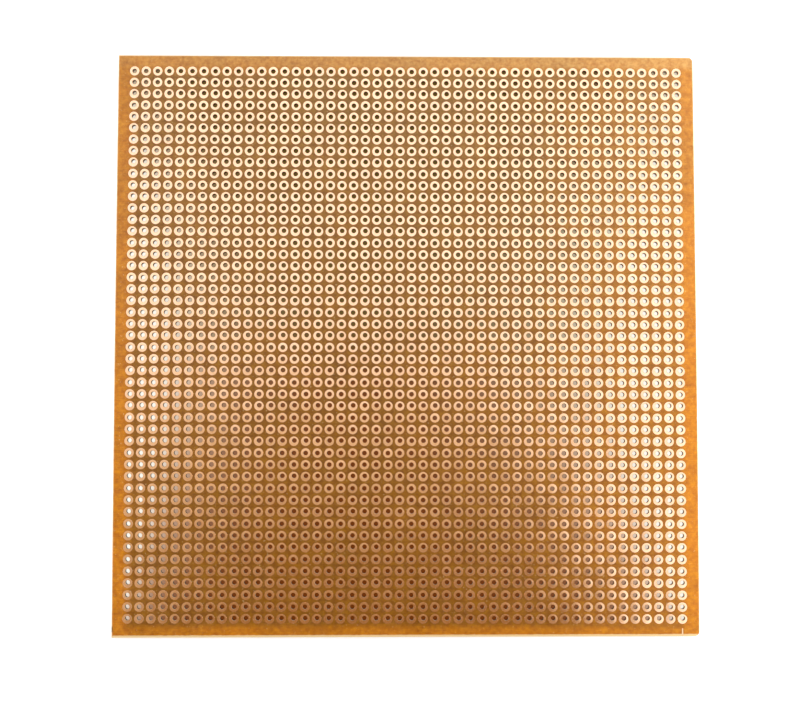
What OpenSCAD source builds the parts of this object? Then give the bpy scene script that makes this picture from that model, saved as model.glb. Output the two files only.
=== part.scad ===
// Prototype board: a phenolic paper sheet with holes on a square grid and a round copper pad round each hole.
// It lies with its copper side up and its front towards -Y.
// The sheet has a slight bow: it rests on its front and back edges, and its middle stands a little off the ground.

/* [Sheet] */
// Left to right, mm
board_w = 126.6; // [60:0.1:140]
// Front to back, mm
board_d = 126.9; // [60:0.1:140]
// Thickness, mm
board_t = 1.2; // [0.8:0.1:2.4]
// Height of the middle of its underside above the ground, mm
bow = 0.6; // [0.1:0.05:1.5]
// Rows of holes on each flat strip of the bow
strip_rows = 4; // [2:2:8]
// Radius of the two right-hand corners, mm
corner_r = 1.1; // [0.2:0.1:2]
// How far the left edge runs out of square at its front end, mm
left_skew = 0.25; // [0.05:0.05:0.6]
// How far the front edge runs out of square at its right end, mm
front_skew = 0.35; // [0.05:0.05:0.6]

/* [Holes] */
// Spacing both ways, mm
pitch = 2.54; // [2.5:0.01:5.08]
// Least distance from the outer holes' centres to the edges, mm
edge_margin = 3.3; // [3:0.1:10]
// Grid's shift to the right of the sheet's middle, mm
grid_x = -0.07; // [-0.4:0.01:0.4]
// Grid's shift to the back of the sheet's middle, mm
grid_y = 0.25; // [-0.4:0.01:0.4]
// Hole diameter, mm
hole_d = 1.0; // [0.6:0.05:1.4]
// How far the holes of every third row stand off their pads' middles to the right, mm
punch_x = 0.08; // [0:0.01:0.2]
// How far those holes stand off to the back, mm
punch_y = 0.16; // [0:0.01:0.2]

/* [Copper] */
// Pad diameter, mm
pad_d = 2.1; // [1.7:0.05:2.4]
// Foil thickness, mm
copper_t = 0.035; // [0.02:0.001:0.105]
// Width of the line at the front right corner, mm
tick_w = 0.25; // [0.15:0.05:0.6]
// Length of that line, mm
tick_l = 1.5; // [0.4:0.1:2]
// Least gap between that line and the edge, and between it and its pad, mm
tick_gap = 0.15; // [0.05:0.05:0.3]

/* [Hidden] */
$fn = 48;
// Cutting bodies run past the faces they cut by this much
cut = 1;

cols = floor((board_w - 2 * edge_margin) / pitch) + 1;
rows = floor((board_d - 2 * edge_margin) / pitch) + 1;

// Each strip's edges lie halfway between two rows
strip_d = strip_rows * pitch;
middle_half = (strip_rows + rows % 2) * pitch / 2;
// Distance of the front and back edges from the grid's middle
front_y = -board_d / 2 - grid_y;
back_y = board_d / 2 - grid_y;

// Bends in the sheet between the middle strip and y
function bends(y) = max(0, ceil((abs(y) - middle_half) / strip_d));
// Drop of the sheet at y for a slope of 1 at each bend
function unit_drop(y) = bends(y) * (abs(y) - middle_half) - strip_d * bends(y) * (bends(y) - 1) / 2;
bend_slope = bow / max(unit_drop(front_y), unit_drop(back_y));
// Height of the sheet's underside at y, and the way it leans there
function under_z(y) = bow - bend_slope * unit_drop(y);
function lean(y) = -sign(y) * atan(bend_slope * bends(y));

// Where the sheet bends, and its two ends, from front to back
front_bends = [for (k = [bends(front_y) - 1:-1:0]) -middle_half - k * strip_d];
back_bends = [for (k = [0:1:bends(back_y) - 1]) middle_half + k * strip_d];
section_y = concat([front_y], front_bends, back_bends, [back_y]);

function col_x(c) = (c - (cols - 1) / 2) * pitch;
function row_y(r) = (r - (rows - 1) / 2) * pitch;
// The holes were punched three rows at a time: the first row from the back is true, the third stands off in full
function punch_share(r) = pow((rows - 1 - r) % 3 / 2, 2);
function hole_shift(r) = punch_share(r) * [punch_x, punch_y, 0];
function row_name(r) = str("pad_row_", r < 9 ? "0" : "", r + 1);

// From the front row's centres to the front edge, at its right end
tick_margin = board_d / 2 + grid_y + row_y(0) - front_skew;
tick_run = min(tick_l, tick_margin - pad_d / 2 - 2 * tick_gap);

// Middle of one row, on the sheet's upper face
module at_row(r) {
  translate([grid_x, grid_y + row_y(r), under_z(row_y(r)) + board_t])
    rotate([lean(row_y(r)), 0, 0])
      children();
}

module bowed_section() {
  lower = [for (y = section_y) [y, under_z(y)]];
  upper = [for (k = [len(section_y) - 1:-1:0]) [section_y[k], under_z(section_y[k]) + board_t]];
  polygon(concat(lower, upper));
}

module bowed_sheet() {
  translate([-board_w / 2, grid_y, 0])
    rotate([90, 0, 90])
      linear_extrude(board_w)
        bowed_section();
}

module holes() {
  for (r = [0:rows - 1])
    at_row(r)
      translate(hole_shift(r))
        for (c = [0:cols - 1])
          translate([col_x(c), 0, -board_t - cut])
            cylinder(d = hole_d, h = board_t + 2 * cut);
}

// What is taken off a right-hand corner, from its round to past the sheet's edges
module corner_waste() {
  translate([board_w / 2 - corner_r, board_d / 2 - corner_r, -cut])
    linear_extrude(board_t + bow + 2 * cut)
      difference() {
        square(corner_r + cut);
        circle(r = corner_r);
      }
}

// The thin wedge that the cut along the left edge takes off
module left_waste() {
  translate([-board_w / 2, 0, -cut])
    linear_extrude(board_t + bow + 2 * cut)
      polygon([
        [-cut, board_d / 2],
        [0, board_d / 2],
        [left_skew, -board_d / 2],
        [left_skew, -board_d / 2 - cut],
        [-cut, -board_d / 2 - cut]
      ]);
}

// The thin wedge that the cut along the front edge takes off
module front_waste() {
  translate([0, -board_d / 2, -cut])
    linear_extrude(board_t + bow + 2 * cut)
      polygon([
        [-board_w / 2, -cut],
        [-board_w / 2, 0],
        [board_w / 2, front_skew],
        [board_w / 2 + cut, front_skew],
        [board_w / 2 + cut, -cut]
      ]);
}

module board() {
  color([0.66, 0.38, 0.12])
    difference() {
      bowed_sheet();
      holes();
      corner_waste();
      translate([0, front_skew, 0])
        mirror([0, 1, 0])
          corner_waste();
      left_waste();
      front_waste();
    }
}

module pad(shift) {
  linear_extrude(copper_t)
    difference() {
      circle(d = pad_d);
      translate(shift)
        circle(d = hole_d);
    }
}

module pad_row(r) {
  color([0.86, 0.62, 0.42])
    at_row(r)
      for (c = [0:cols - 1])
        translate([col_x(c), 0, 0])
          pad(hole_shift(r));
}

module corner_tick() {
  color([0.86, 0.62, 0.42])
    at_row(0)
      translate([col_x(cols - 1) - tick_w / 2, tick_gap - tick_margin, 0])
        cube([tick_w, tick_run, copper_t]);
}

board();
corner_tick();
for (r = [0:rows - 1]) pad_row(r);
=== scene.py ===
"""Looks of the prototype board: lacquered paper laminate, copper pads, and a table in a light tent."""
import math

import bpy
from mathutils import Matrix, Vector


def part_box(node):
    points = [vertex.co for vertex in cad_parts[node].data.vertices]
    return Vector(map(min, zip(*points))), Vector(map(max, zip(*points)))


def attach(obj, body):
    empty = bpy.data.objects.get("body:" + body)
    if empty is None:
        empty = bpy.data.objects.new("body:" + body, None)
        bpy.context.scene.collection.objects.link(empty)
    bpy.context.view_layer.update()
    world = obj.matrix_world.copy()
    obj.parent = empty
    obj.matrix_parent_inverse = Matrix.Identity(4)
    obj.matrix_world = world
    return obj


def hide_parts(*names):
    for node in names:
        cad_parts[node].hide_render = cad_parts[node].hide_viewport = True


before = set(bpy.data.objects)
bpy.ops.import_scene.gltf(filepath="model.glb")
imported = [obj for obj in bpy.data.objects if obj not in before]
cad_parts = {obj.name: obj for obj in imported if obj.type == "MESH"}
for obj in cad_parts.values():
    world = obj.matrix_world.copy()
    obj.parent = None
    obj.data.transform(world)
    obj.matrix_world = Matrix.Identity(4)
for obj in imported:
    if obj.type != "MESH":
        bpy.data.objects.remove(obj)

bl_info = {
    "name": "Prototype board looks",
    "version": (1, 0, 0),
    "blender": (4, 2, 0),
    "location": "View3D > Sidebar > Board",
    "description": "Builds a prototype board's copper pads, its finishes and the table it is shown on",
    "category": "Object",
}

MM = 0.001
PAD_NODES = sorted(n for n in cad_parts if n.startswith("pad_row_"))

# Nearly all of a noise lies between these values
NOISE_LOW = 0.3
NOISE_HIGH = 0.7
# Upward share of a normal, up to which a surface is a wall, and from which it is a face
WALL_TURN = 0.3
FACE_TURN = 0.7

# Laminate: scales of its patterns, per mm
CLOUD_SCALE = 0.09
MOTTLE_SCALE = 0.9
SPECK_SCALE = 2.4
FRAY_SCALE = 1.1
GLOSS_SCALE = 0.5
FIBRE_STRETCH = (0.5, 4.0, 4.0)
LAYER_STRETCH = (0.25, 0.25, 9.0)
# Shares that the patterns have in the paper's tone, and the range of its tones and hues
CLOUD_SHARE = 0.25
MOTTLE_SHARE = 0.5
FIBRE_SHARE = 0.25
PAPER_TONES = (0.56, 1.44)
PAPER_HUES = (0.494, 0.508)
# Distances past the outer pads, in mm, between which the painted shade of the grid ends; the front margin
# keeps some painted shade
GRID_SHADE_END = (-2.5, 0.7)
GRID_FRONT_SHADE_END = (-0.4, 1.5)
FRONT_MARGIN_SHARE = 0.85
# Painted light: the grid gets paler towards the right between these places, in mm
RIGHT_PAINTED_LIGHT = (20.0, 52.0)
RIGHT_PAINTED_LIGHT_SHARE = 0.33
# Painted sheen: places between which it grows, in mm, and its shares at the left and right of grid and
# margin
SHEEN_TO_BACK = (-20.0, 60.0)
SHEEN_TO_RIGHT = (-60.0, 60.0)
SHEEN_PAST_GRID = (-0.8, 0.6)
GRID_SHEEN = (0.03, 0.06)
MARGIN_SHEEN = (0.08, 0.17)
SHEEN_PATCHES = (0.5, 1.5)
# Cut edges: values of the noise between dark and pale layers, and the margin's share in a dark layer
LAYER_TONES = (0.35, 0.65)
DARK_LAYER_SHARE = 0.45
# Fringe of the cut edges on the face: its width, in mm, and its strength
FRAY_LEAST = 0.02
FRAY_SPREAD = 0.20
FRAY_END = (-0.08, 0.14)
FRAY_SHARE = 0.8
# Pale specks on the faces: values of the noise at which they begin and are full, and their strength
SPECK_RANGE = (0.66, 0.74)
SPECK_SHARE = 0.3
# Nick: place behind the front corner, depth and half its length, in mm, and its strength
NICK_PLACE = 1.8
NICK_DEPTH = (0.12, 0.5)
NICK_HALF = (0.4, 0.8)
NICK_SHARE = 0.85
# Distances from the edges, in mm, where walls are no longer cut edges, and where the painted light on the
# hole walls ends
HOLES_START = (0.9, 1.6)
LIT_WALLS_END = (4.0, 24.0)
LIT_WALL_SHARE = 0.8
# Surface: spread of its roughness, roughness of the cuts, heights of its relief, and tint of its shine
GLOSS_SPREAD = 0.06
CUT_ROUGHNESS = 0.75
FIBRE_RELIEF = 0.6
LAYER_RELIEF = 6.0
LACQUER_TINT = (1.0, 0.96, 0.62)

# Copper: scales of its patterns, per mm, and their shares in its tone
TARNISH_SCALE = 0.12
STAIN_SCALE = 1.6
BRUSH_SCALE = 1.2
BRUSH_STRETCH = (1.0, 14.0, 1.0)
TARNISH_SHARE = 0.6
STAIN_SHARE = 0.4
# Range of tones from pad to pad and over the copper, of its strength of colour, and of its roughness
PAD_TONES = (-0.035, 0.035)
COPPER_TONES = (0.93, 1.06)
COPPER_STRENGTHS = (1.06, 0.94)
SMOOTHEST = -0.03
ROUGHEST = 0.04

# Pads: rows that were punched at a time, and the angle up to which edges are smooth
PUNCHED_ROWS = 3
SMOOTH_ANGLE = math.radians(20.0)
# Upward share of the normals of a CAD row's upper faces
UPPER_FACES = 0.9

# Table: inset of its rim as a share of its side, scale and range of its tones, and glow for the camera
TABLE_INSET = 0.1
TABLE_SCALE = 0.02
TABLE_TONES = (0.86, 0.90)
TABLE_GLOW = 0.25
# The ground under the sheet is painted, as the camera sees it through the holes. Places are in mm
PAINT_START = (2.5, 1.0)
PAINT_BASE = (0.03, 0.012, 0.004)
FRONT_GROUND = (0.148, 0.032, 0.002)
BACK_GROUND = (0.114, 0.072, 0.014)
GROUND_CHANGE = (-12.0, 8.0)
LEFT_LIGHT = (1.0, 0.68, 0.40)
RIGHT_LIGHT = (1.0, 0.84, 0.54)
SIDE_CHANGE = (-15.0, 15.0)
FRONT_LIGHT = (1.0, 0.58, 0.32)
FRONT_CHANGE = (-45.0, -5.0)
NEAR_LIGHT = (1.0, 0.98, 0.88)
# Painted light: how far its middle lies before the sheet's, and the margin at the back without its rise
CREEP_MIDDLE = 3.0
CREEP_MARGIN = 1.5
# Share of its reach that it keeps there, its strength there and its rise, and the rounding of its limit
LEFT_LEAST = 0.35
RIGHT_LEAST = 0.43
CREEP_LOW = 1.1
CREEP_RISE = 1.7
CREEP_ROUND = 0.4

# Tent: least upward share of a direction that its slope is reckoned with
HORIZON = 0.02
# Slopes from the zenith between which the opening passes into the cloth
BACK_HEM = (-0.19, 0.18)
LEFT_HEM = (-0.42, -0.09)
FRONT_HEM = (-0.75, -0.50)
RIGHT_HEM_SLANT = -0.5
RIGHT_HEM_START = 0.055
RIGHT_HEM_LEAST = -0.03
RIGHT_HEM_END = 0.217
# Slopes between which the cloth gets dimmer towards the ground, and how bright it is there
CLOTH_FALL = (0.35, 0.95)
LOW_CLOTH = 0.50
# Slopes between which the glow of the lamp at the back begins and ends
GLOW_NEAR = (0.39, 0.45)
GLOW_FAR = (0.55, 0.65)
GLOW_MIDDLE = 0.1
GLOW_HALF = (0.25, 0.4)

# Lamps: name, direction in degrees from the right, and share of the lamp power
LAMPS = (("right_lamp", 0.0, 1.2), ("back_lamp", 90.0, 0.04), ("left_lamp", 180.0, 0.42))
# Their places and sizes, in metres
LAMP_DISTANCE = 0.10
LAMP_HEIGHT = 0.05
LAMP_TILT = math.radians(55.0)
LAMP_WIDTH = 0.03
LAMP_LENGTH = 0.15

# Camera: width of its sensor, in mm, and the least distance that it shows, in metres
SENSOR_WIDTH = 36.0
CAMERA_NEAREST = 0.01


def length(name, description, default, precision=5):
    return bpy.props.FloatProperty(
        name=name, description=description, default=default, unit="LENGTH", precision=precision)


def tint(name, description, default):
    return bpy.props.FloatVectorProperty(
        name=name, description=description, default=default, subtype="COLOR", size=3, min=0, max=1)


def light_tint(name, description, default):
    return bpy.props.FloatVectorProperty(
        name=name, description=description, default=default, subtype="COLOR", size=3, min=0, soft_max=4)


def amount(name, description, default, **limits):
    return bpy.props.FloatProperty(name=name, description=description, default=default, min=0, **limits)


class BoardPadProperties(bpy.types.PropertyGroup):
    """Sizes of one copper pad and of the row it is repeated in."""

    hole_radius: length("Hole radius", "Inner radius of a pad", 0.5 * MM)
    pad_radius: length("Pad radius", "Outer radius of a pad", 1.05 * MM)
    foil: length("Foil", "Thickness of the copper", 0.035 * MM, 6)
    lip: length("Lip", "Width of the ring that the punch drew down into the hole", 0.035 * MM)
    edge: length("Etched edge", "Width of the slope that etching left at the rim", 0.027 * MM)
    dome: length("Dome", "How much lower a pad's face is at its rim than at its hole", 0.004 * MM, 6)
    punch_right: length(
        "Punch, right", "How far the holes of every third row stand off to the right", 0.08 * MM)
    punch_back: length(
        "Punch, back", "How far the holes of every third row stand off to the back", 0.16 * MM)
    segments: bpy.props.IntProperty(
        name="Segments", description="Sides of a pad's outline", default=20, min=12, max=32)
    pitch: length("Pitch", "Distance between two pads of a row", 2.54 * MM)
    columns: bpy.props.IntProperty(name="Columns", description="Pads in a row", default=48, min=1)


class BoardFinishProperties(bpy.types.PropertyGroup):
    """Colours and gloss of the laminate and the copper."""

    # The laminate is one material: its paler margin colour holds painted light let in through the sheet's
    # edges, and its darker colour between the pads is painted shade
    margin: tint("Margin", "Laminate where no copper shades it", (0.423, 0.132, 0.004))
    shaded: tint(
        "Between pads", "Laminate between the pads, which keep light out of it", (0.200, 0.068, 0.004))
    # The pale bloom is painted sheen, standing for the lacquer's reflection of the bright back and right
    painted_sheen: tint(
        "Bloom", "Pale bloom of the lacquer, most on the back margin and to the right", (0.68, 0.55, 0.25))
    cut_edge: tint("Cut edge", "Bare paper fibre where the sheet was cut", (0.70, 0.53, 0.27))
    # A dark spot at a nick in the left edge
    edge_dark_spot: tint("Scorched", "Nick in the left edge", (0.15, 0.083, 0.018))
    front_fray: amount(
        "Front fray", "How much wider the pale fringe of the front edge is, in millimetres", 0.3, max=2)
    # The hole walls are darkened by painted shade, and the lit hole wall colour paints light on them near
    # the left and right edges
    shaded_hole_wall: tint("Hole wall", "Inside of the punched holes", (0.195, 0.070, 0.012))
    lit_wall: tint(
        "Lit hole wall", "Inside of the holes next to the left and right edges", (0.51, 0.41, 0.29))
    copper: tint("Copper", "Copper of the pads under its lacquer", (0.95, 0.62, 0.385))
    copper_roughness: amount(
        "Copper roughness", "Mean roughness of the copper", 0.11, max=1, subtype="FACTOR")
    pad_tilt: amount(
        "Pad tilt", "Spread of the slopes by which single pads lie out of level", 0.014, max=0.2)
    lacquer_roughness: amount(
        "Lacquer roughness", "Mean roughness of the laminate's surface", 0.22, max=1, subtype="FACTOR")


class BoardStageProperties(bpy.types.PropertyGroup):
    """Table, light and camera."""

    camera_place: bpy.props.FloatVectorProperty(
        name="Camera place", description="Where the camera stands", subtype="TRANSLATION", size=3,
        default=(-4.304 * MM, -22.616 * MM, 298.793 * MM), precision=5)
    camera_turn: bpy.props.FloatVectorProperty(
        name="Camera turn", description="How the camera is turned", subtype="EULER", size=3,
        default=(0.064271, -0.010233, 0.001434), precision=5)
    lens: bpy.props.FloatProperty(
        name="Lens", description="Focal length for a 36 mm wide sensor", default=61.687, min=1,
        unit="CAMERA")
    floor_size: length("Table size", "Side of the table top", 3.0)
    tent_dark: light_tint(
        "Tent opening", "Dim, warm light from the opening of the tent, round the camera",
        (0.354, 0.192, 0.070))
    tent_hem: light_tint("Tent hem", "Light from the cloth next to the opening", (0.84, 0.685, 0.497))
    tent_bright: light_tint("Tent cloth", "Light from the cloth of the tent", (1.40, 1.40, 1.47))
    creep_left: length(
        "Creep, left", "Depth at which the light painted under the sheet's left fades to a third", 9.6 * MM)
    creep_right: length(
        "Creep, right", "Depth at which the light painted under its right fades to a third", 14.8 * MM)
    back_glow: amount("Back glow", "How much brighter the cloth is before the lamp at the back", 3.5)
    right_glow: amount("Right glow", "How much brighter the cloth is on the right", 0.12)
    side_power: amount("Lamp power", "Power that each lamp has its share of", 0.065, unit="POWER")


def settings():
    scene = bpy.context.scene
    return scene.board_pads, scene.board_finish, scene.board_stage


def deselect():
    bpy.ops.object.select_all(action="DESELECT")


def colour(rgb):
    return (*rgb, 1.0)


def grey(tone):
    return (tone, tone, tone, 1.0)


class Nodes:
    """Short calls for building one node tree."""

    def __init__(self, tree):
        self.tree = tree
        tree.nodes.clear()

    def new(self, kind, inputs=None, **attributes):
        node = self.tree.nodes.new(kind)
        for name, value in attributes.items():
            setattr(node, name, value)
        for key, value in (inputs or {}).items():
            self.put(node.inputs[key], value)
        return node

    def put(self, socket, value):
        if isinstance(value, bpy.types.NodeSocket):
            self.tree.links.new(value, socket)
        else:
            socket.default_value = value

    def filled(self, node, *values):
        """First output of a node, after its first inputs are given these values."""
        for socket, value in zip(node.inputs, values):
            self.put(socket, value)
        return node.outputs[0]

    def math(self, operation, *values, clamp=False):
        return self.filled(self.new("ShaderNodeMath", operation=operation, use_clamp=clamp), *values)

    def vector(self, operation, *values):
        return self.filled(self.new("ShaderNodeVectorMath", operation=operation), *values)

    def plus(self, a, b):
        return self.math("ADD", a, b)

    def minus(self, a, b):
        return self.math("SUBTRACT", a, b)

    def times(self, a, b):
        return self.math("MULTIPLY", a, b)

    def over(self, a, b):
        return self.math("DIVIDE", a, b)

    def scaled(self, value, factor, start):
        return self.math("MULTIPLY_ADD", value, factor, start)

    def smaller(self, a, b):
        return self.math("MINIMUM", a, b)

    def larger(self, a, b):
        return self.math("MAXIMUM", a, b)

    def size(self, a):
        return self.math("ABSOLUTE", a)

    def ramp(self, value, low, high, to_low=0.0, to_high=1.0, kind="SMOOTHSTEP"):
        node = self.new("ShaderNodeMapRange", interpolation_type=kind, clamp=True)
        return self.filled(node, value, low, high, to_low, to_high)

    def line(self, value, low, high, to_low=0.0, to_high=1.0):
        return self.ramp(value, low, high, to_low, to_high, "LINEAR")

    def fade(self, value, low, high):
        """1 up to the low value, and 0 from the high one."""
        return self.ramp(value, low, high, 1.0, 0.0)

    def spread(self, noise, to_low, to_high):
        """A noise, stretched to a range of values."""
        return self.line(noise, NOISE_LOW, NOISE_HIGH, to_low, to_high)

    def mix(self, factor, a, b):
        node = self.new("ShaderNodeMix", data_type="RGBA", blend_type="MIX")
        self.put(node.inputs[0], factor)
        self.put(node.inputs[6], a)
        self.put(node.inputs[7], b)
        return node.outputs[2]

    def split(self, vector):
        return self.new("ShaderNodeSeparateXYZ", {"Vector": vector}).outputs

    def noise(self, vector, scale, detail=3.0, roughness=0.55):
        return self.new("ShaderNodeTexNoise", {
            "Vector": vector, "Scale": scale, "Detail": detail, "Roughness": roughness}).outputs["Fac"]

    def stretched(self, vector, scale):
        return self.vector("MULTIPLY", vector, scale)

    def normal(self):
        return self.new("ShaderNodeNewGeometry").outputs["Normal"]

    def camera_ray(self):
        return self.new("ShaderNodeLightPath").outputs["Is Camera Ray"]


def place_group():
    """Node group that gives an object's own coordinates in millimetres."""
    name = "Place in mm"
    if name in bpy.data.node_groups:
        return bpy.data.node_groups[name]
    tree = bpy.data.node_groups.new(name, "ShaderNodeTree")
    tree.interface.new_socket("Place", in_out="OUTPUT", socket_type="NodeSocketVector")
    n = Nodes(tree)
    coords = n.new("ShaderNodeTexCoord")
    place = n.stretched(coords.outputs["Object"], (1 / MM, 1 / MM, 1 / MM))
    n.new("NodeGroupOutput", {"Place": place})
    return tree


def new_material(name):
    material = bpy.data.materials.new(name)
    material.use_nodes = True
    n = Nodes(material.node_tree)
    group = n.new("ShaderNodeGroup", node_tree=place_group())
    return material, n, group.outputs["Place"]


def sheet_corners():
    """The sheet's two left corners and the right end of its front edge, seen from above, in mm."""
    points = [v.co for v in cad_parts["board"].data.vertices]
    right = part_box("board")[1].x - MM
    corners = (min(points, key=lambda p: p.x - p.y), min(points, key=lambda p: p.x + p.y),
               min((p for p in points if p.x > right), key=lambda p: p.y))
    return [corner / MM for corner in corners]


def edge_distances(n, x, y, corners):
    """Distances to the left edge, the nearer side, the back edge and the front edge, in mm."""
    back_left, front_left, front_right = corners
    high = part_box("board")[1] / MM
    # The left and front edges were cut askew
    left_drift = (front_left.x - back_left.x) / (back_left.y - front_left.y)
    front_drift = (front_right.y - front_left.y) / (front_right.x - front_left.x)
    to_right = n.minus(high.x, x)
    to_left = n.minus(n.scaled(y, left_drift, x), back_left.x + left_drift * back_left.y)
    to_back = n.minus(high.y, y)
    to_front = n.minus(n.scaled(x, -front_drift, y), front_left.y - front_drift * front_left.x)
    return to_left, n.smaller(to_right, to_left), to_back, to_front


def painted_light_share(n, x, y, past_back, up):
    """1 where the laminate has its margin colour with painted light, 0 where it has the painted shade of
    the grid.
    """
    low, high = (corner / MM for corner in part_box(PAD_NODES[0]))
    past_side = n.minus(n.size(n.minus(x, (low.x + high.x) / 2)), (high.x - low.x) / 2)
    past_front = n.minus(low.y, y)
    share = n.larger(n.ramp(n.larger(past_side, past_back), *GRID_SHADE_END),
                     n.ramp(past_front, *GRID_FRONT_SHADE_END, 0.0, FRONT_MARGIN_SHARE))
    share = n.larger(share, n.ramp(x, *RIGHT_PAINTED_LIGHT, 0.0, RIGHT_PAINTED_LIGHT_SHARE))
    # The underside has no copper, so it gets no painted shade
    return n.larger(share, n.fade(up, -FACE_TURN, -WALL_TURN))


def laminate_material(finish):
    material, n, place = new_material("Phenolic paper")
    x, y, _ = n.split(place)
    up = n.split(n.normal())[2]
    corners = sheet_corners()
    to_left, to_side, to_back, to_front = edge_distances(n, x, y, corners)
    past_back = n.minus(y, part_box(PAD_NODES[-1])[1].y / MM)
    cut_edge = colour(finish.cut_edge)
    margin = colour(finish.margin)
    # Paper: broad clouds, fine mottling and fibres along the sheet
    clouds = n.noise(place, CLOUD_SCALE, detail=2.0)
    mottle = n.noise(place, MOTTLE_SCALE, detail=4.0, roughness=0.65)
    fibres = n.noise(n.stretched(place, FIBRE_STRETCH), 1.0)
    fine = n.plus(n.times(mottle, MOTTLE_SHARE), n.times(fibres, FIBRE_SHARE))
    tone = n.plus(n.times(clouds, CLOUD_SHARE), fine)
    # Painted shade between the pads, and painted light in the margins and towards the right
    sheet = n.mix(painted_light_share(n, x, y, past_back, up), colour(finish.shaded), margin)
    sheet = n.new("ShaderNodeHueSaturation", {
        "Color": sheet, "Value": n.spread(tone, *PAPER_TONES),
        "Hue": n.spread(mottle, *PAPER_HUES)}).outputs[0]
    # Painted sheen: a pale wash over the lacquer, in patches, more to the back and to the right where the
    # tent is brightest
    on_grid = n.times(n.ramp(y, *SHEEN_TO_BACK), n.line(x, *SHEEN_TO_RIGHT, *GRID_SHEEN))
    on_margin = n.times(n.ramp(past_back, *SHEEN_PAST_GRID), n.line(x, *SHEEN_TO_RIGHT, *MARGIN_SHEEN))
    painted_sheen = n.times(n.plus(on_grid, on_margin), n.spread(mottle, *SHEEN_PATCHES))
    sheet = n.mix(painted_sheen, sheet, colour(finish.painted_sheen))
    # The cut edge shows bare fibre in layers, and frays a little onto the face
    layers = n.noise(n.stretched(place, LAYER_STRETCH), 1.0, detail=2.0)
    cut = n.mix(n.ramp(layers, *LAYER_TONES), n.mix(DARK_LAYER_SHARE, cut_edge, margin), cut_edge)
    to_fray = n.smaller(n.smaller(to_side, to_back), n.minus(to_front, finish.front_fray))
    fray = n.scaled(n.noise(place, FRAY_SCALE), FRAY_SPREAD, FRAY_LEAST)
    frayed = n.times(n.fade(n.minus(to_fray, fray), *FRAY_END), FRAY_SHARE)
    sheet = n.mix(frayed, sheet, cut_edge)
    specks = n.ramp(n.noise(place, SPECK_SCALE, detail=2.0), *SPECK_RANGE, 0.0, SPECK_SHARE)
    sheet = n.mix(specks, sheet, cut_edge)
    # A dark spot in the left edge, close to the front corner
    from_nick = n.size(n.minus(y, corners[1].y + NICK_PLACE))
    nick = n.times(n.fade(to_left, *NICK_DEPTH), n.fade(from_nick, *NICK_HALF))
    sheet = n.mix(n.times(nick, NICK_SHARE), sheet, colour(finish.edge_dark_spot))
    # Walls: the cut edges, and inside of them the holes
    side = n.fade(n.size(up), WALL_TURN, FACE_TURN)
    # Hole walls: painted shade, and painted light near the left and right edges
    lit = n.ramp(to_side, *LIT_WALLS_END, LIT_WALL_SHARE, 0.0)
    bore = n.mix(lit, colour(finish.shaded_hole_wall), colour(finish.lit_wall))
    to_edge = n.smaller(to_side, n.smaller(to_back, to_front))
    base = n.mix(side, sheet, n.mix(n.ramp(to_edge, *HOLES_START), cut, bore))
    # Lacquer on the faces, matt where the sheet was cut
    gloss = n.spread(n.noise(place, GLOSS_SCALE), finish.lacquer_roughness - GLOSS_SPREAD,
                     finish.lacquer_roughness + GLOSS_SPREAD)
    roughness = n.larger(gloss, n.times(n.larger(side, frayed), CUT_ROUGHNESS))
    relief = n.plus(n.times(fibres, FIBRE_RELIEF), n.times(n.times(layers, side), LAYER_RELIEF))
    bump = n.new("ShaderNodeBump", {
        "Strength": 0.12, "Distance": 0.02 * MM, "Height": relief}).outputs[0]
    shader = n.new("ShaderNodeBsdfPrincipled", {
        "Base Color": base, "Roughness": roughness, "Normal": bump, "IOR": 1.5,
        "Specular IOR Level": 0.47, "Specular Tint": colour(LACQUER_TINT)})
    n.new("ShaderNodeOutputMaterial", {"Surface": shader.outputs[0]})
    return material


def copper_material(finish, pads):
    material, n, place = new_material("Lacquered copper")
    # Each pad has its own small share of tarnish, and lies a little out of level
    step = pads.pitch / MM
    cell = n.vector("FLOOR", n.stretched(place, (1 / step, 1 / step, 0.0)))
    own = n.new("ShaderNodeTexWhiteNoise", {"Vector": cell}, noise_dimensions="3D").outputs
    away = n.vector("SUBTRACT", own["Color"], (0.5, 0.5, 0.5))
    away = n.stretched(away, (finish.pad_tilt, finish.pad_tilt, 0.0))
    facing = n.vector("NORMALIZE", n.vector("ADD", n.normal(), away))
    tarnish = n.noise(place, TARNISH_SCALE)
    stain = n.noise(place, STAIN_SCALE)
    dulled = n.plus(n.times(tarnish, TARNISH_SHARE), n.times(stain, STAIN_SHARE))
    value = n.plus(n.line(own["Value"], 0.0, 1.0, *PAD_TONES), n.spread(dulled, *COPPER_TONES))
    base = n.new("ShaderNodeHueSaturation", {
        "Color": colour(finish.copper), "Value": value,
        "Saturation": n.spread(stain, *COPPER_STRENGTHS)}).outputs[0]
    brushed = n.noise(n.stretched(place, BRUSH_STRETCH), BRUSH_SCALE, detail=2.0)
    roughness = n.spread(brushed, finish.copper_roughness + SMOOTHEST, finish.copper_roughness + ROUGHEST)
    bump = n.new("ShaderNodeBump", {
        "Strength": 0.04, "Distance": 0.004 * MM, "Height": brushed, "Normal": facing}).outputs[0]
    shader = n.new("ShaderNodeBsdfPrincipled", {
        "Base Color": base, "Metallic": 1.0, "Roughness": roughness, "Normal": bump,
        "Coat Weight": 0.4, "Coat Roughness": 0.10, "Coat IOR": 1.5})
    n.new("ShaderNodeOutputMaterial", {"Surface": shader.outputs[0]})
    return material


def finish_node(name, material):
    """Gives a CAD node that is shown as it is its one material."""
    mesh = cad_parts[name].data
    mesh.materials.clear()
    mesh.materials.append(material)


class BOARD_OT_laminate(bpy.types.Operator):
    """Give the sheet its lacquered paper finish"""

    bl_idname = "board.laminate"
    bl_label = "Finish the sheet"

    def execute(self, context):
        finish = settings()[1]
        finish_node("board", laminate_material(finish))
        return {"FINISHED"}


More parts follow.
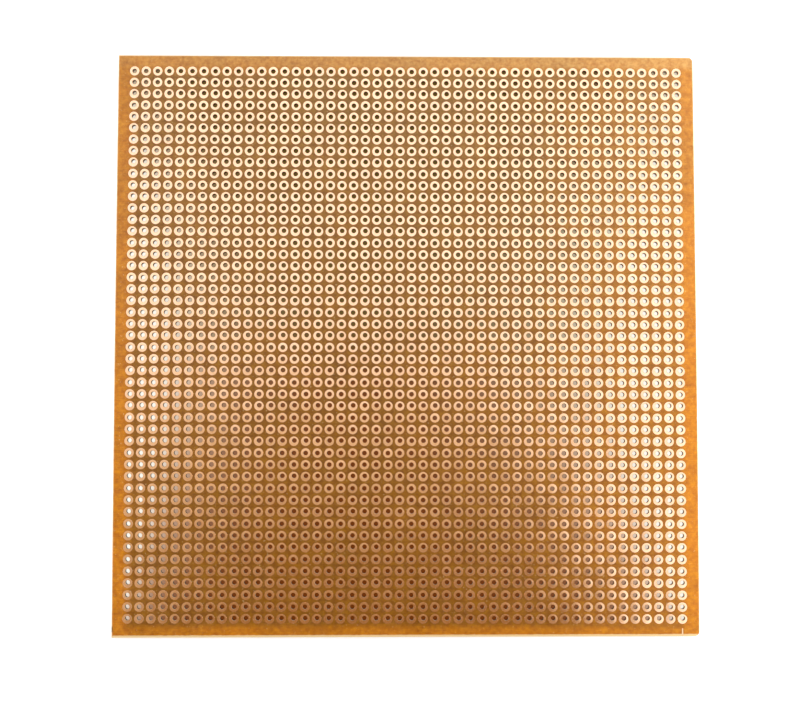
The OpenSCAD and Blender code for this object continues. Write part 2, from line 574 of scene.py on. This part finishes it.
class BOARD_OT_pads(bpy.types.Operator):
    """Model rows of copper pads, copy them over the grid, and give the corner tick the same copper"""

    bl_idname = "board.pads"
    bl_label = "Build the pads"

    def execute(self, context):
        pads, finish, _ = settings()
        copper = copper_material(finish, pads)
        finish_node("corner_tick", copper)
        # The holes were punched a few rows at a time, from the back, and stand off more in each of them
        for step in range(PUNCHED_ROWS):
            row = self.model_row(pads, (step / (PUNCHED_ROWS - 1)) ** 2)
            row.data.materials.append(copper)
            for node in PAD_NODES[::-1][step::PUNCHED_ROWS]:
                self.lay_row(row, node, pads.foil)
            bpy.data.meshes.remove(row.data)
        return {"FINISHED"}

    def model_row(self, pads, share):
        """One row along X on the plane z = 0, its holes off the pads' middles by a share of the punch."""
        deselect()
        hole = Vector((pads.punch_right, pads.punch_back, 0.0)) * share
        bpy.ops.mesh.primitive_circle_add(
            vertices=pads.segments, radius=pads.hole_radius, fill_type="NOTHING", location=hole)
        row = bpy.context.object
        bpy.ops.object.transform_apply(location=True, rotation=True, scale=True)
        bpy.ops.object.mode_set(mode="EDIT")
        bpy.ops.mesh.select_all(action="SELECT")
        radius, place, middle = pads.hole_radius, hole, Vector((0.0, 0.0, 0.0))
        # Radius, climb and middle of the rings at the lip's top, the face's rim and the rim's foot
        rings = ((pads.hole_radius + pads.lip, pads.foil, hole),
                 (pads.pad_radius - pads.edge, -pads.dome, middle),
                 (pads.pad_radius, pads.dome - pads.foil, middle))
        for next_radius, climb, next_place in rings:
            bpy.ops.mesh.extrude_region_move(TRANSFORM_OT_translate={"value": (0.0, 0.0, climb)})
            ratio = next_radius / radius
            bpy.ops.transform.resize(value=(ratio, ratio, 1.0), center_override=place)
            bpy.ops.transform.translate(value=next_place - place)
            radius, place = next_radius, next_place
        # The underside joins the two rims
        bpy.ops.mesh.select_all(action="DESELECT")
        bpy.ops.mesh.select_non_manifold()
        bpy.ops.mesh.bridge_edge_loops()
        bpy.ops.mesh.select_all(action="SELECT")
        bpy.ops.mesh.normals_make_consistent(inside=False)
        bpy.ops.object.mode_set(mode="OBJECT")
        bpy.ops.object.shade_smooth_by_angle(angle=SMOOTH_ANGLE)
        array = row.modifiers.new("Columns", "ARRAY")
        array.count = pads.columns
        array.use_relative_offset = False
        array.use_constant_offset = True
        array.constant_offset_displace = (pads.pitch, 0.0, 0.0)
        bpy.ops.object.modifier_apply(modifier=array.name)
        row.location.x = -(pads.columns - 1) * pads.pitch / 2
        bpy.ops.object.transform_apply(location=True, rotation=True, scale=True)
        return row

    def lay_row(self, row, node, foil):
        """Copies the row onto the seat of one CAD row, at that row's lean."""
        low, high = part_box(node)
        up = Vector((0.0, 0.0, 0.0))
        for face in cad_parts[node].data.polygons:
            if face.normal.z > UPPER_FACES:
                up += face.normal * face.area
        up.normalize()
        deselect()
        piece = row.copy()
        piece.data = row.data.copy()
        piece.name = piece.data.name = node.replace("pad_row", "copper_pads")
        bpy.context.collection.objects.link(piece)
        bpy.context.view_layer.objects.active = piece
        piece.select_set(True)
        piece.rotation_euler = (math.atan2(-up.y, up.z), 0.0, 0.0)
        piece.location = (low + high) / 2 - up * foil / 2
        bpy.ops.object.transform_apply(location=True, rotation=True, scale=True)
        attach(piece, "root")
        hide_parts(node)


class BOARD_OT_stage(bpy.types.Operator):
    """Set up the table, the light tent, the lamps and the camera"""

    bl_idname = "board.stage"
    bl_label = "Set the stage"

    def execute(self, context):
        stage = settings()[2]
        self.table(stage)
        self.tent(stage)
        self.lamps(stage)
        self.camera(stage)
        context.scene.view_settings.view_transform = "Standard"
        return {"FINISHED"}

    def table(self, stage):
        deselect()
        bpy.ops.mesh.primitive_plane_add(size=stage.floor_size)
        table = bpy.context.object
        table.name = table.data.name = "table_top"
        bpy.ops.object.mode_set(mode="EDIT")
        bpy.ops.mesh.select_all(action="SELECT")
        bpy.ops.mesh.inset(thickness=stage.floor_size * TABLE_INSET)
        bpy.ops.object.mode_set(mode="OBJECT")
        table.data.materials.append(self.table_material(stage))

    def table_material(self, stage):
        """White, with a glow for the camera alone, and with painted ground under the sheet."""
        material, n, place = new_material("White table")
        x, y, _ = n.split(place)
        low, high = (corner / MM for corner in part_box("board"))
        inside_x = n.fade(n.size(x), *(high.x - inset for inset in PAINT_START))
        inside_y = n.fade(n.size(y), *(high.y - inset for inset in PAINT_START))
        under = n.times(inside_x, inside_y)
        # Light is painted from the left and the right, and farthest where the bowed sheet stands highest
        from_middle = n.over(n.plus(y, CREEP_MIDDLE), high.y - CREEP_MARGIN)
        stands = n.math("SUBTRACT", 1.0, n.times(from_middle, from_middle), clamp=True)
        from_left = self.fading(n, n.minus(x, low.x), stands, stage.creep_left / MM, LEFT_LEAST)
        from_right = self.fading(n, n.minus(high.x, x), stands, stage.creep_right / MM, RIGHT_LEAST)
        creep = n.math("SMOOTH_MIN", n.plus(from_left, from_right), 1.0, CREEP_ROUND)
        ground = n.mix(n.ramp(y, *GROUND_CHANGE), colour(FRONT_GROUND), colour(BACK_GROUND))
        # It is warmer the deeper it lies, on the left and at the front
        deep_light = n.mix(n.ramp(x, *SIDE_CHANGE), colour(LEFT_LIGHT), colour(RIGHT_LIGHT))
        deep_light = n.mix(n.ramp(y, *FRONT_CHANGE), colour(FRONT_LIGHT), deep_light)
        painted = n.mix(creep, ground, n.mix(creep, deep_light, colour(NEAR_LIGHT)))
        glow = n.mix(under, grey(TABLE_GLOW), painted)
        seen = n.camera_ray()
        white = n.mix(n.noise(place, TABLE_SCALE, detail=2.0), *(grey(tone) for tone in TABLE_TONES))
        top = n.mix(n.times(under, seen), white, colour(PAINT_BASE))
        shader = n.new("ShaderNodeBsdfPrincipled", {
            "Base Color": top, "Roughness": 0.6, "Specular IOR Level": 0.1,
            "Emission Color": glow, "Emission Strength": seen})
        n.new("ShaderNodeOutputMaterial", {"Surface": shader.outputs[0]})
        return material

    def fading(self, n, depth, stands, reach, least):
        """Painted light at a depth under an edge, with the least share of its reach at the sheet's ends."""
        fade_depth = n.scaled(stands, (1.0 - least) * reach, least * reach)
        at_edge = n.scaled(stands, CREEP_RISE, CREEP_LOW)
        return n.times(at_edge, n.math("EXPONENT", n.over(n.times(depth, -1.0), fade_depth)))

    def tent(self, stage):
        """A cloth tent, bright all round, with a dim opening round the camera that the pads mirror."""
        world = bpy.data.worlds.new("Light tent")
        world.use_nodes = True
        n = Nodes(world.node_tree)
        x, y, z = n.split(n.new("ShaderNodeTexCoord").outputs["Generated"])
        up = n.larger(z, HORIZON)
        lean_x = n.over(x, up)
        lean_y = n.over(y, up)
        back = n.ramp(lean_y, *BACK_HEM)
        front = n.fade(lean_y, *FRONT_HEM)
        left = n.fade(lean_x, *LEFT_HEM)
        # The opening narrows to the back on its right
        right_hem = n.larger(n.scaled(lean_y, RIGHT_HEM_SLANT, RIGHT_HEM_START), RIGHT_HEM_LEAST)
        right = n.ramp(lean_x, right_hem, RIGHT_HEM_END)
        opening = n.minus(1.0, n.larger(back, front))
        for side in (right, left):
            opening = n.times(opening, n.minus(1.0, side))
        cloth = n.minus(1.0, opening)
        light = n.mix(n.line(cloth, 0.0, 0.5), colour(stage.tent_dark), colour(stage.tent_hem))
        light = n.mix(n.line(cloth, 0.5, 1.0), light, colour(stage.tent_bright))
        lean = n.math("SQRT", n.plus(n.times(lean_x, lean_x), n.times(lean_y, lean_y)))
        strength = n.ramp(lean, *CLOTH_FALL, 1.0, LOW_CLOTH)
        # A lamp behind the cloth at the back, which the back margin mirrors
        glow = n.times(n.ramp(lean_y, *GLOW_NEAR), n.fade(lean_y, *GLOW_FAR))
        glow = n.times(glow, n.fade(n.size(n.minus(lean_x, GLOW_MIDDLE)), *GLOW_HALF))
        strength = n.scaled(glow, stage.back_glow, strength)
        strength = n.scaled(right, stage.right_glow, strength)
        # The camera sees plain white behind the table
        lit = n.new("ShaderNodeBackground", {"Color": light, "Strength": strength})
        white = n.new("ShaderNodeBackground", {"Color": grey(1.0), "Strength": 1.0})
        both = n.new("ShaderNodeMixShader", {0: n.camera_ray(), 1: lit.outputs[0], 2: white.outputs[0]})
        n.new("ShaderNodeOutputWorld", {"Surface": both.outputs[0]})
        bpy.context.scene.world = world

    def lamps(self, stage):
        for name, degrees, share in LAMPS:
            deselect()
            around = math.radians(degrees)
            place = (LAMP_DISTANCE * math.cos(around), LAMP_DISTANCE * math.sin(around), LAMP_HEIGHT)
            bpy.ops.object.light_add(type="AREA", location=place, rotation=(0.0, LAMP_TILT, around))
            lamp = bpy.context.object
            lamp.name = lamp.data.name = name
            lamp.data.shape = "RECTANGLE"
            lamp.data.size = LAMP_WIDTH
            lamp.data.size_y = LAMP_LENGTH
            lamp.data.energy = stage.side_power * share
            lamp.visible_camera = False
            lamp.visible_glossy = False

    def camera(self, stage):
        deselect()
        bpy.ops.object.camera_add(location=stage.camera_place, rotation=stage.camera_turn)
        camera = bpy.context.object
        camera.name = camera.data.name = "camera"
        camera.data.sensor_width = SENSOR_WIDTH
        camera.data.lens = stage.lens
        camera.data.clip_start = CAMERA_NEAREST
        bpy.context.scene.camera = camera


class BOARD_PT_panel(bpy.types.Panel):
    """Settings and steps of the board"""

    bl_label = "Prototype board"
    bl_idname = "BOARD_PT_panel"
    bl_space_type = "VIEW_3D"
    bl_region_type = "UI"
    bl_category = "Board"

    def draw(self, context):
        layout = self.layout
        for group in settings():
            box = layout.box()
            for name in group.__annotations__:
                box.prop(group, name)
        for operator in OPERATORS:
            layout.operator(operator.bl_idname)


GROUPS = (("board_pads", BoardPadProperties), ("board_finish", BoardFinishProperties),
          ("board_stage", BoardStageProperties))
OPERATORS = (BOARD_OT_laminate, BOARD_OT_pads, BOARD_OT_stage)
CLASSES = tuple(group for _, group in GROUPS) + OPERATORS + (BOARD_PT_panel,)


def register():
    for c in CLASSES:
        bpy.utils.register_class(c)
    for name, group in GROUPS:
        setattr(bpy.types.Scene, name, bpy.props.PointerProperty(type=group))


def unregister():
    for name, _ in GROUPS:
        delattr(bpy.types.Scene, name)
    for c in reversed(CLASSES):
        bpy.utils.unregister_class(c)


def main():
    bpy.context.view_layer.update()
    register()
    bpy.ops.board.laminate()
    bpy.ops.board.pads()
    bpy.ops.board.stage()


if __name__ == "__main__":
    main()
